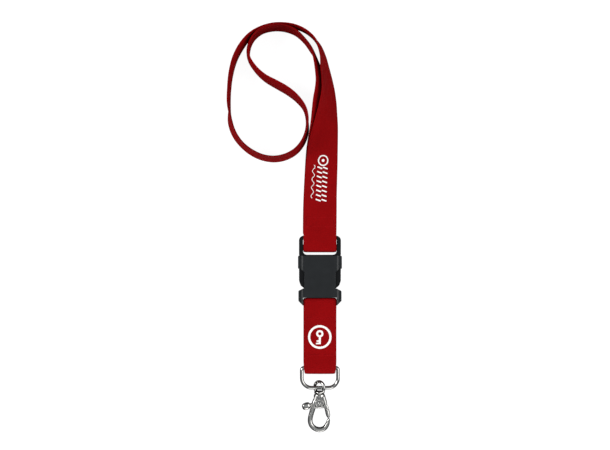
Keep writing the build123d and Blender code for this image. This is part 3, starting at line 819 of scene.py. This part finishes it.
def tab_seams():
    rows = []
    for y in (-28.5, -56.5):
        for up in (1, -1):
            z = MID_Z + up * (TAB_CLOSED_OFFSET + WEBBING_THICKNESS / 2) + CROWN * 0.5
            rows.append(((-SEAM_HALF, y, z), (SEAM_HALF, y, z), up))
    return rows


neck_stitching = sewn("neck_seam", neck_seams(), "neck", "neck_strap_stitching")
tab_stitching = sewn("tab_seam", tab_seams(), "tab", "tab_strap_stitching")


# ---- buckle ---------------------------------------------------------------------------
SOCKET_HEIGHT = 8
ARM_HALF_DEPTH = 2.4  # half the thickness of the plug and its arms
THROUGH = (-1, 9)  # low and high ends of a cut that goes right through


def mirrored(corners):
    """The right half of an outline, from top to bottom, and its mirror image."""
    return corners + [(-x, y, r) for x, y, r in reversed(corners)]


def rail(name, section, foot_y, top_y):
    """A straight bar along Y with a section of (x, z) points."""
    obj = prism(name, section, -top_y, -foot_y)
    obj.data.transform(Matrix(((1, 0, 0, 0), (0, 0, -1, 0), (0, 1, 0, 0), (0, 0, 0, 1))))
    return obj


def buckle_socket():
    right = [
        (16.6, 18.8, 1.1),
        (16.6, 8.9, 0.5),
        (15.2, 8.9, 0.3),
        (11.8, 5.4, 1.4),
        (11.8, -6.0, 1.2),
        (16.3, -8.2, 0.6),
        (16.3, -15.5, 1.2),
        (12.7, -19.05, 1.2),
    ]
    obj = prism("buckle_socket_shell", rounded_outline(mirrored(right)), 0, SOCKET_HEIGHT, 0.8, 4)
    # shoulders: the front's middle panel stands proud of its sloping sides
    slope = [(12.7, 8.05), (13.0, 7.9), (14.3, 7.2), (14.7, 6.75)]
    shoulder = slope + [(18.0, 6.75), (18.0, 9.0), (12.7, 9.0)]
    for side in (-1, 1):
        for foot_y, top_y in ((7.0, 20.0), (-20.0, -7.0)):
            section = [(side * x, z) for x, z in shoulder]
            combine(obj, rail("shoulder", section, foot_y, top_y), "DIFFERENCE")
        # a fine gap round the slanting foot of each side window
        corners = [(15.3, 9.0), (14.9, 9.3), (11.6, 6.0), (11.8, 5.4)]
        gap = [(side * x, y) for x, y in corners[::side]]
        combine(obj, prism("window_gap", gap, 5.0, 9.0), "DIFFERENCE")
    combine(obj, box("cavity", (-15.1, -6.4, 1.5), (15.1, 19.8, 6.5)), "DIFFERENCE")
    slot = rounded_outline(
        [(12.8, -13.0, 0.6), (-12.8, -13.0, 0.6), (-12.8, -14.5, 0.2), (12.8, -14.5, 0.2)]
    )
    combine(obj, prism("slot", slot, *THROUGH), "DIFFERENCE")
    for low_z, high_z in ((THROUGH[0], 2.7), (5.3, THROUGH[1])):
        combine(obj, box("relief", (-12.8, -20, low_z), (12.8, -14.2, high_z)), "DIFFERENCE")
    soften(obj, 0.28, 3, 45)
    return even_normals(finish_normals(obj, 32))


def buckle_plug():
    right = [(15.85, 33.8, 3.6), (15.85, 18.9, 2.4), (14.4, 18.9, 0.2), (14.4, 14.5, 0.4)]
    low, high = MID_Z - ARM_HALF_DEPTH, MID_Z + ARM_HALF_DEPTH
    obj = prism("buckle_plug_frame", rounded_outline(mirrored(right), 8), low, high, 1.3, 5)
    window = rounded_outline(
        [(12.8, 30.8, 0.3), (-12.8, 30.8, 0.3), (-12.8, 19.3, 3.0), (12.8, 19.3, 3.0)]
    )
    combine(obj, prism("window", window, *THROUGH), "DIFFERENCE")
    for low_z, high_z in ((THROUGH[0], 2.8), (5.2, THROUGH[1])):
        combine(obj, box("relief", (-12.8, 30.0, low_z), (12.8, 35, high_z)), "DIFFERENCE")
    # a round seat for the root of each arm
    for side in (-1, 1):
        combine(obj, prism("notch", circle(side * 12.5, 14.5, 1.18, 24), *THROUGH), "DIFFERENCE")
    bar_section = rounded_outline(
        [(22.4, -1.2, 1.15), (27.2, -1.2, 0.5), (27.2, 1.2, 0.5), (22.4, 1.2, 1.15)]
    )
    bar = prism("bar", bar_section, -13.2, 13.2)
    bar.data.transform(Matrix(((0, 0, 1, 0), (1, 0, 0, 0), (0, 1, 0, MID_Z * MM), (0, 0, 0, 1))))
    combine(obj, bar, "UNION")
    guide = prism(
        "guide",
        rounded_outline([(1.9, 15.0, 0), (1.9, -4.0, 1.5), (-1.9, -4.0, 1.5), (-1.9, 15.0, 0)]),
        MID_Z - 1.4,
        MID_Z + 1.4,
        rim=0.3,
    )
    combine(obj, guide, "UNION")
    soften(obj, 0.25, 3, 45)
    return even_normals(finish_normals(obj, 32))


def buckle_prong(side):
    """One springing arm, with grip ribs down its outer face."""
    corners = [
        (11.4, 14.5, 0),
        (11.5, 15.1, 0),
        (12.5, 15.6, 0.9),
        (13.5, 15.1, 0),
        (13.6, 14.5, 0),
        (13.6, 9.05, 0.5),
        (15.85, 9.05, 0.35),
        (15.85, 0.0, 4.0),
        (14.6, -3.9, 3.0),
        (12.2, -5.8, 0.5),
        (10.9, -5.2, 0.5),
        (10.2, 4.0, 2.0),
        (11.4, 8.0, 2.0),
    ]
    outline = [(x * side, y) for x, y in rounded_outline(corners)]
    name = "buckle_prong_arm_right" if side > 0 else "buckle_prong_arm_left"
    obj = prism(name, outline, MID_Z - ARM_HALF_DEPTH, MID_Z + ARM_HALF_DEPTH, 1.05, 4)
    for number in range(5):
        groove = [(side * x, y) for x, y in circle(15.98, 6.6 - number * 1.3, 0.28, 12)]
        combine(obj, prism("groove", groove, 0, SOCKET_HEIGHT), "DIFFERENCE")
    return even_normals(finish_normals(obj, 35))


dress(buckle_socket(), "tab", "acetal", black_acetal, "buckle_socket")
dress(buckle_plug(), "neck", "acetal", smooth_acetal, "buckle_plug")
dress(buckle_prong(1), "prong_right", "acetal", smooth_acetal, "buckle_prong_right")
dress(buckle_prong(-1), "prong_left", "acetal", smooth_acetal, "buckle_prong_left")


# ---- D-ring -----------------------------------------------------------------------------
def d_ring():
    half, bar, foot, corner, bow = 13.75, -66.2, -81.5, 2.2, 12.9
    corners = [(half, bar, corner), (half, foot, bow), (-half, foot, bow), (-half, bar, corner)]
    outline = rounded_outline(corners, 24)
    path = []
    for number, here in enumerate(outline):
        there = outline[(number + 1) % len(outline)]
        count = max(1, math.ceil(math.dist(here, there) / 0.8))
        for step in range(count):
            t = step / count
            path.append(
                (here[0] + (there[0] - here[0]) * t, here[1] + (there[1] - here[1]) * t, MID_Z)
            )
    obj = tube("d_ring_wire", path, 1.4, sides=28, closed=True)
    return finish_normals(obj, 60)


dress(d_ring(), "ring", "plated_steel", nickel_wire, "d_ring")

# ---- snap hook --------------------------------------------------------------------------
PIN_X = -0.4
PIN_Y = -92.9
EYE_TURN = math.radians(39)
TRIGGER_SLOT_HALF = 1.06  # half the height of the slot that the trigger turns in
SQUARENESS = 2.6  # 2 makes cast sections round, more makes them squarer


def turned_disc(name, profile, centre, axis, steps=40):
    """A solid of revolution. Profile rows are (radius, distance along the axis)."""
    axis = Vector(axis).normalized()
    side = axis.orthogonal().normalized()
    other = axis.cross(side)
    verts = []
    for radius, distance in profile:
        for n in range(steps):
            a = 2 * math.pi * n / steps
            verts.append(
                Vector(centre)
                + axis * distance
                + (side * math.cos(a) + other * math.sin(a)) * radius
            )
    return new_object(name, verts, ring_faces(len(profile), steps))


def swivel_eye():
    """Cast eye: a loop of round stock on a flange, with its riveted stem below."""
    across = Vector((math.cos(EYE_TURN), 0, math.sin(EYE_TURN)))
    centre = Vector((PIN_X, -81.2, MID_Z))
    path = []
    for n in range(41):
        a = math.radians(-58 + 296 * n / 40)
        path.append(centre + across * 4.4 * math.cos(a) + Vector((0, 4.4 * math.sin(a), 0)))
    normal = across.cross(Vector((0, 1, 0)))
    loop = tube("loop", path, 1.15, sides=20, up=normal)
    flange = turned_disc(
        "flange",
        [(3.3, 0), (3.8, 0.3), (3.95, 0.8), (3.95, 1.2), (3.8, 1.65), (3.4, 2.0)],
        (PIN_X, -84.0, MID_Z),
        (0, -1, 0),
    )
    stem = turned_disc("stem", [(1.3, 0), (1.3, 6.0)], (PIN_X, -84.4, MID_Z), (0, -1, 0))
    rivet = turned_disc(
        "rivet", [(1.7, 0), (2.0, 0.2), (2.0, 0.8), (1.7, 1.0)], (PIN_X, -89.2, MID_Z), (0, -1, 0)
    )
    obj = join("swivel_eye_casting", [loop, flange, stem, rivet])
    melt(obj, 0.14, 3)
    return finish_normals(obj, 60)


def ellipsoid(name, centre, radii, turn):
    """A pillowy rounded blob, turned about the vertical."""
    rows, columns = 20, 40
    angle = math.radians(turn)

    def squash(value):
        return math.copysign(abs(value) ** (2 / SQUARENESS), value)

    verts = []
    for row in range(1, rows):
        lift = math.pi * (row / rows - 0.5)
        for column in range(columns):
            a = 2 * math.pi * column / columns
            x = radii[0] * squash(math.cos(lift)) * squash(math.cos(a))
            y = radii[1] * squash(math.cos(lift)) * squash(math.sin(a))
            verts.append(
                (
                    centre[0] + x * math.cos(angle) - y * math.sin(angle),
                    centre[1] + x * math.sin(angle) + y * math.cos(angle),
                    centre[2] + radii[2] * squash(math.sin(lift)),
                )
            )
    return new_object(name, verts, ring_faces(rows - 1, columns))


def oval_tube(name, rows, step, thickness):
    """A bar along rows of (x, y, half width), in the hook's plane, of the given thickness."""
    line = hermite([(x, y, 0.0, width) for x, y, width in rows], step)
    path = [(x, y, MID_Z) for x, y, _, _ in line]
    widths = line[:, 3]
    count = len(path)
    points = np.array(path)
    ahead = np.vstack([points[1:], points[-1:]])
    behind = np.vstack([points[:1], points[:-1]])
    along = unit(ahead - behind)
    across = np.cross(along, np.array((0.0, 0.0, 1.0)))
    sides = 24
    verts = []
    for place in range(count):
        for n in range(sides):
            a = 2 * math.pi * n / sides
            c, s = math.cos(a), math.sin(a)
            squarish = (abs(c) ** SQUARENESS + abs(s) ** SQUARENESS) ** (-1 / SQUARENESS)
            verts.append(
                points[place]
                + across[place] * c * squarish * widths[place]
                + np.array((0, 0, 1)) * s * squarish * thickness / 2
            )
    return new_object(name, verts, ring_faces(count, sides))


def hook_body():
    """Cast hook: barrel, shoulders, boss and bow melted into one skin, then slotted for the
    trigger."""
    bow = oval_tube(
        "bow",
        [
            (-3.2, -91.5, 2.0),
            (-4.4, -94.6, 2.05),
            (-5.5, -97.8, 1.95),
            (-6.5, -101.2, 1.85),
            (-7.35, -104.8, 1.85),
            (-7.15, -108.2, 1.85),
            (-5.4, -111.1, 1.9),
            (-2.6, -112.8, 1.9),
            (0.4, -113.2, 1.9),
            (3.2, -112.2, 1.85),
            (5.2, -109.9, 1.7),
            (6.2, -107.4, 1.4),
            (6.55, -106.0, 1.2),
            (6.9, -104.95, 0.8),
        ],
        0.5,
        4.4,
    )
    barrel = turned_disc(
        "barrel",
        [(3.2, 0), (4.0, 0.35), (4.25, 1.0), (4.25, 2.2), (4.0, 4.2), (3.0, 5.6)],
        (PIN_X, -86.1, MID_Z),
        (0, -1, 0),
    )
    barrel.data.transform(Matrix.Translation((0, 0, MID_Z * MM)) @ Matrix.Diagonal((1, 1, 0.73, 1))
                          @ Matrix.Translation((0, 0, -MID_Z * MM)))
    left_shoulder = oval_tube(
        "left_shoulder",
        [(-2.3, -87.8, 1.9), (-3.2, -90.2, 1.8), (-4.3, -93.0, 1.8), (-4.9, -95.4, 1.6)],
        0.4,
        5.6,
    )
    right_shoulder = oval_tube(
        "right_shoulder",
        [(2.2, -87.8, 1.8), (3.0, -90.2, 1.7), (3.8, -92.6, 1.6), (4.0, -94.4, 1.3)],
        0.4,
        5.6,
    )
    crotch = oval_tube(
        "crotch",
        [
            (-4.6, -95.2, 1.2),
            (-2.8, -95.9, 1.1),
            (-0.4, -96.1, 0.9),
            (2.0, -95.8, 1.0),
            (3.8, -94.6, 1.1),
        ],
        0.4,
        5.4,
    )
    boss = turned_disc(
        "boss",
        [(2.8, 0), (3.1, 0.3), (3.1, 5.7), (2.8, 6.0)],
        (PIN_X, PIN_Y, MID_Z - 3.0),
        (0, 0, 1),
    )
    web = prism(
        "web",
        [(-3.4, -88.0), (3.0, -88.0), (3.8, -94.4), (1.6, -96.4), (-2.2, -96.4), (-4.8, -95.0)],
        MID_Z - 1.7,
        MID_Z + 1.7,
    )
    obj = join("snap_hook_body", [bow, barrel, left_shoulder, right_shoulder, crotch, boss, web])
    melt(obj, 0.14, 4)
    low, high = MID_Z - TRIGGER_SLOT_HALF, MID_Z + TRIGGER_SLOT_HALF
    combine(obj, box("slot", (-9.6, -98.0, low), (8.6, -90.2, high)), "DIFFERENCE")
    combine(obj, box("thumb_slot", (-9.6, -95.0, low), (-2.4, -89.0, high)), "DIFFERENCE")
    bore = turned_disc("bore", [(1.36, 0), (1.36, 8)], (PIN_X, -84.0, MID_Z), (0, -1, 0))
    combine(obj, bore, "DIFFERENCE")
    pocket = turned_disc("pocket", [(2.06, 0), (2.06, 1.3)], (PIN_X, -89.05, MID_Z), (0, -1, 0))
    combine(obj, pocket, "DIFFERENCE")
    hole = turned_disc("hole", [(1.2, 0), (1.2, 9)], (PIN_X, PIN_Y, -0.5), (0, 0, 1))
    combine(obj, hole, "DIFFERENCE")
    # a raised lip round each end of the pin, with a groove inside it
    for side in (-1, 1):
        lip = [(x, y, MID_Z + side * 2.95) for x, y in circle(PIN_X, PIN_Y, 2.85, 48)]
        combine(obj, tube("lip", lip, 0.55, sides=12, closed=True), "UNION")
        floor_z = MID_Z + side * 1.95
        sink = turned_disc("sink", [(2.3, 0), (2.3, 2)], (PIN_X, PIN_Y, floor_z), (0, 0, side))
        combine(obj, sink, "DIFFERENCE")
    return finish_normals(obj, 45)


def trigger_gate():
    """The lever: gate at one end, thumb knob at the other, turning on the pin."""
    hub = turned_disc("hub", [(2.5, 0), (2.5, 2.0)], (PIN_X, PIN_Y, MID_Z - 1.0), (0, 0, 1))
    gate_arm = oval_tube(
        "gate_arm",
        [(PIN_X, PIN_Y, 2.3), (2.4, -93.9, 2.1), (4.5, -95.8, 1.75), (5.6, -99.2, 1.6)],
        0.4,
        2.0,
    )
    gate = oval_tube(
        "gate",
        [
            (5.2, -97.3, 0.5),
            (5.4, -98.2, 1.3),
            (5.8, -100.2, 1.7),
            (6.2, -101.9, 1.6),
            (6.45, -103.3, 1.2),
            (6.6, -104.25, 0.6),
        ],
        0.25,
        3.6,
    )
    thumb_arm = oval_tube(
        "thumb_arm", [(PIN_X, PIN_Y, 1.9), (-5.0, -94.2, 1.5), (-9.6, -95.2, 1.4)], 0.5, 2.0
    )
    knob = ellipsoid("knob", (-10.35, -95.4, MID_Z), (3.3, 2.7, 2.2), 20)
    obj = join("snap_hook_trigger", [hub, gate_arm, gate, thumb_arm, knob])
    melt(obj, 0.13, 2)
    hole = turned_disc("hole", [(1.26, 0), (1.26, 9)], (PIN_X, PIN_Y, -0.5), (0, 0, 1))
    combine(obj, hole, "DIFFERENCE")
    pocket = turned_disc("pocket", [(2.05, 0), (2.05, 2)], (PIN_X, PIN_Y, MID_Z + 0.1), (0, 0, 1))
    combine(obj, pocket, "DIFFERENCE")
    return finish_normals(obj, 45)


def trigger_pin():
    """A rivet with a low dome at each end, as rows of (radius, distance from the middle)."""
    head = [(1.2, 1.95), (1.45, 1.96), (1.45, 2.6), (1.3, 3.0), (0.95, 3.3), (0.4, 3.45)]
    profile = [(radius, -reach) for radius, reach in reversed(head)] + head
    obj = turned_disc("snap_hook_pin", profile, (PIN_X, PIN_Y, MID_Z), (0, 0, 1))
    return finish_normals(obj, 45)


def trigger_spring():
    """Two turns of wire round the pin, in the trigger's pocket."""
    turns, steps, rise = 2, 60, 0.38
    path = []
    for n in range(steps + 1):
        a = 2 * math.pi * turns * n / steps
        z = MID_Z + 0.33 + rise * n / steps
        path.append((PIN_X + 1.6 * math.cos(a), PIN_Y + 1.6 * math.sin(a), z))
    obj = tube("snap_hook_spring", path, 0.17, sides=10)
    return finish_normals(obj, 60)


dress(swivel_eye(), "eye", "plated_zinc", nickel_casting, "swivel_eye")
dress(hook_body(), "hook", "plated_zinc", nickel_casting, "hook_body")
dress(trigger_gate(), "trigger", "plated_zinc", nickel_casting, "trigger_gate")
dress(trigger_pin(), "hook", "plated_steel", nickel_wire, "trigger_pin")
dress(trigger_spring(), "hook", "spring_steel", spring_wire, "trigger_spring")


# ---- stage, lights and camera -----------------------------------------------------------
def floor():
    """A pale table: white to the camera, a soft bounce under the webbing, and darker in the
    metal's reflections."""
    edge = 60000  # far enough that its rim is not seen from low angles
    corners = [(-edge, -edge, 0), (edge, -edge, 0), (edge, edge, 0), (-edge, edge, 0)]
    obj = new_object("floor", corners, [(0, 1, 2, 3)])
    nodes = Nodes("pale_floor")
    ray = nodes.add("ShaderNodeLightPath").outputs
    nodes.link(
        nodes.ramp(ray["Is Diffuse Ray"], 0.0, 1.0, (0.16, 0.16, 0.165), (0.5, 0.5, 0.5)),
        nodes.shader.inputs["Base Color"],
    )
    nodes.link(nodes.spread(ray["Is Camera Ray"], 0.0, 0.93), nodes.shader.inputs["Emission Strength"])
    nodes.shader.inputs["Emission Color"].default_value = (1, 1, 1, 1)
    nodes.shader.inputs["Roughness"].default_value = 0.9
    nodes.shader.inputs["Specular IOR Level"].default_value = 0.0
    obj.data.materials.append(nodes.material)


def area_light(name, place, target, size, power):
    data = bpy.data.lights.new(name, "AREA")
    data.shape = "SQUARE"
    data.size = size
    data.energy = power
    obj = add_object(name, data)
    obj.location = place
    obj.rotation_euler = (Vector(target) - Vector(place)).to_track_quat("-Z", "Y").to_euler()


def studio():
    """A studio of soft bands of light, brightest overhead and dark near the horizon."""
    world = bpy.data.worlds.new("studio")
    bpy.context.scene.world = world
    world.use_nodes = True
    tree = world.node_tree
    background = tree.nodes["Background"]
    place = tree.nodes.new("ShaderNodeTexCoord")
    parts = tree.nodes.new("ShaderNodeSeparateXYZ")
    shade = tree.nodes.new("ShaderNodeValToRGB")
    # height of each band, from 0 at the horizon to 1 overhead, and its brightness
    bands = [(0.3, 0.012), (0.5, 0.07), (0.68, 0.6), (0.78, 0.6), (0.88, 0.2), (0.96, 0.85), (1.0, 1.0)]
    stops = shade.color_ramp.elements
    while len(stops) < len(bands):
        stops.new(1.0)
    for stop, (height, level) in zip(stops, bands):
        stop.position = height
        stop.color = (level * 0.92, level * 0.97, level, 1)
    tree.links.new(place.outputs["Generated"], parts.inputs[0])
    tree.links.new(parts.outputs[2], shade.inputs["Fac"])
    tree.links.new(shade.outputs["Color"], background.inputs["Color"])
    background.inputs["Strength"].default_value = 0.9
    area_light("key", (-0.95, 0.25, 0.9), (0, 0.05, 0), 0.4, 12.5)
    area_light("fill", (0.9, 0.1, 0.85), (0, 0.05, 0), 0.9, 10.5)
    area_light("front", (0.1, -0.95, 0.45), (-0.03, 0.1, 0), 0.6, 6.0)


def camera():
    """Straight above the lanyard, at arm's length."""
    height_m = 0.8
    view_width_m = 0.4648
    data = bpy.data.cameras.new("camera")
    data.sensor_width = 36.0
    data.lens = data.sensor_width * height_m / view_width_m
    data.clip_start = 0.01
    obj = add_object("camera", data)
    obj.location = (-0.0113, 0.0419, height_m)
    bpy.context.scene.camera = obj


floor()
studio()
camera()
bpy.context.scene.view_settings.view_transform = "Standard"
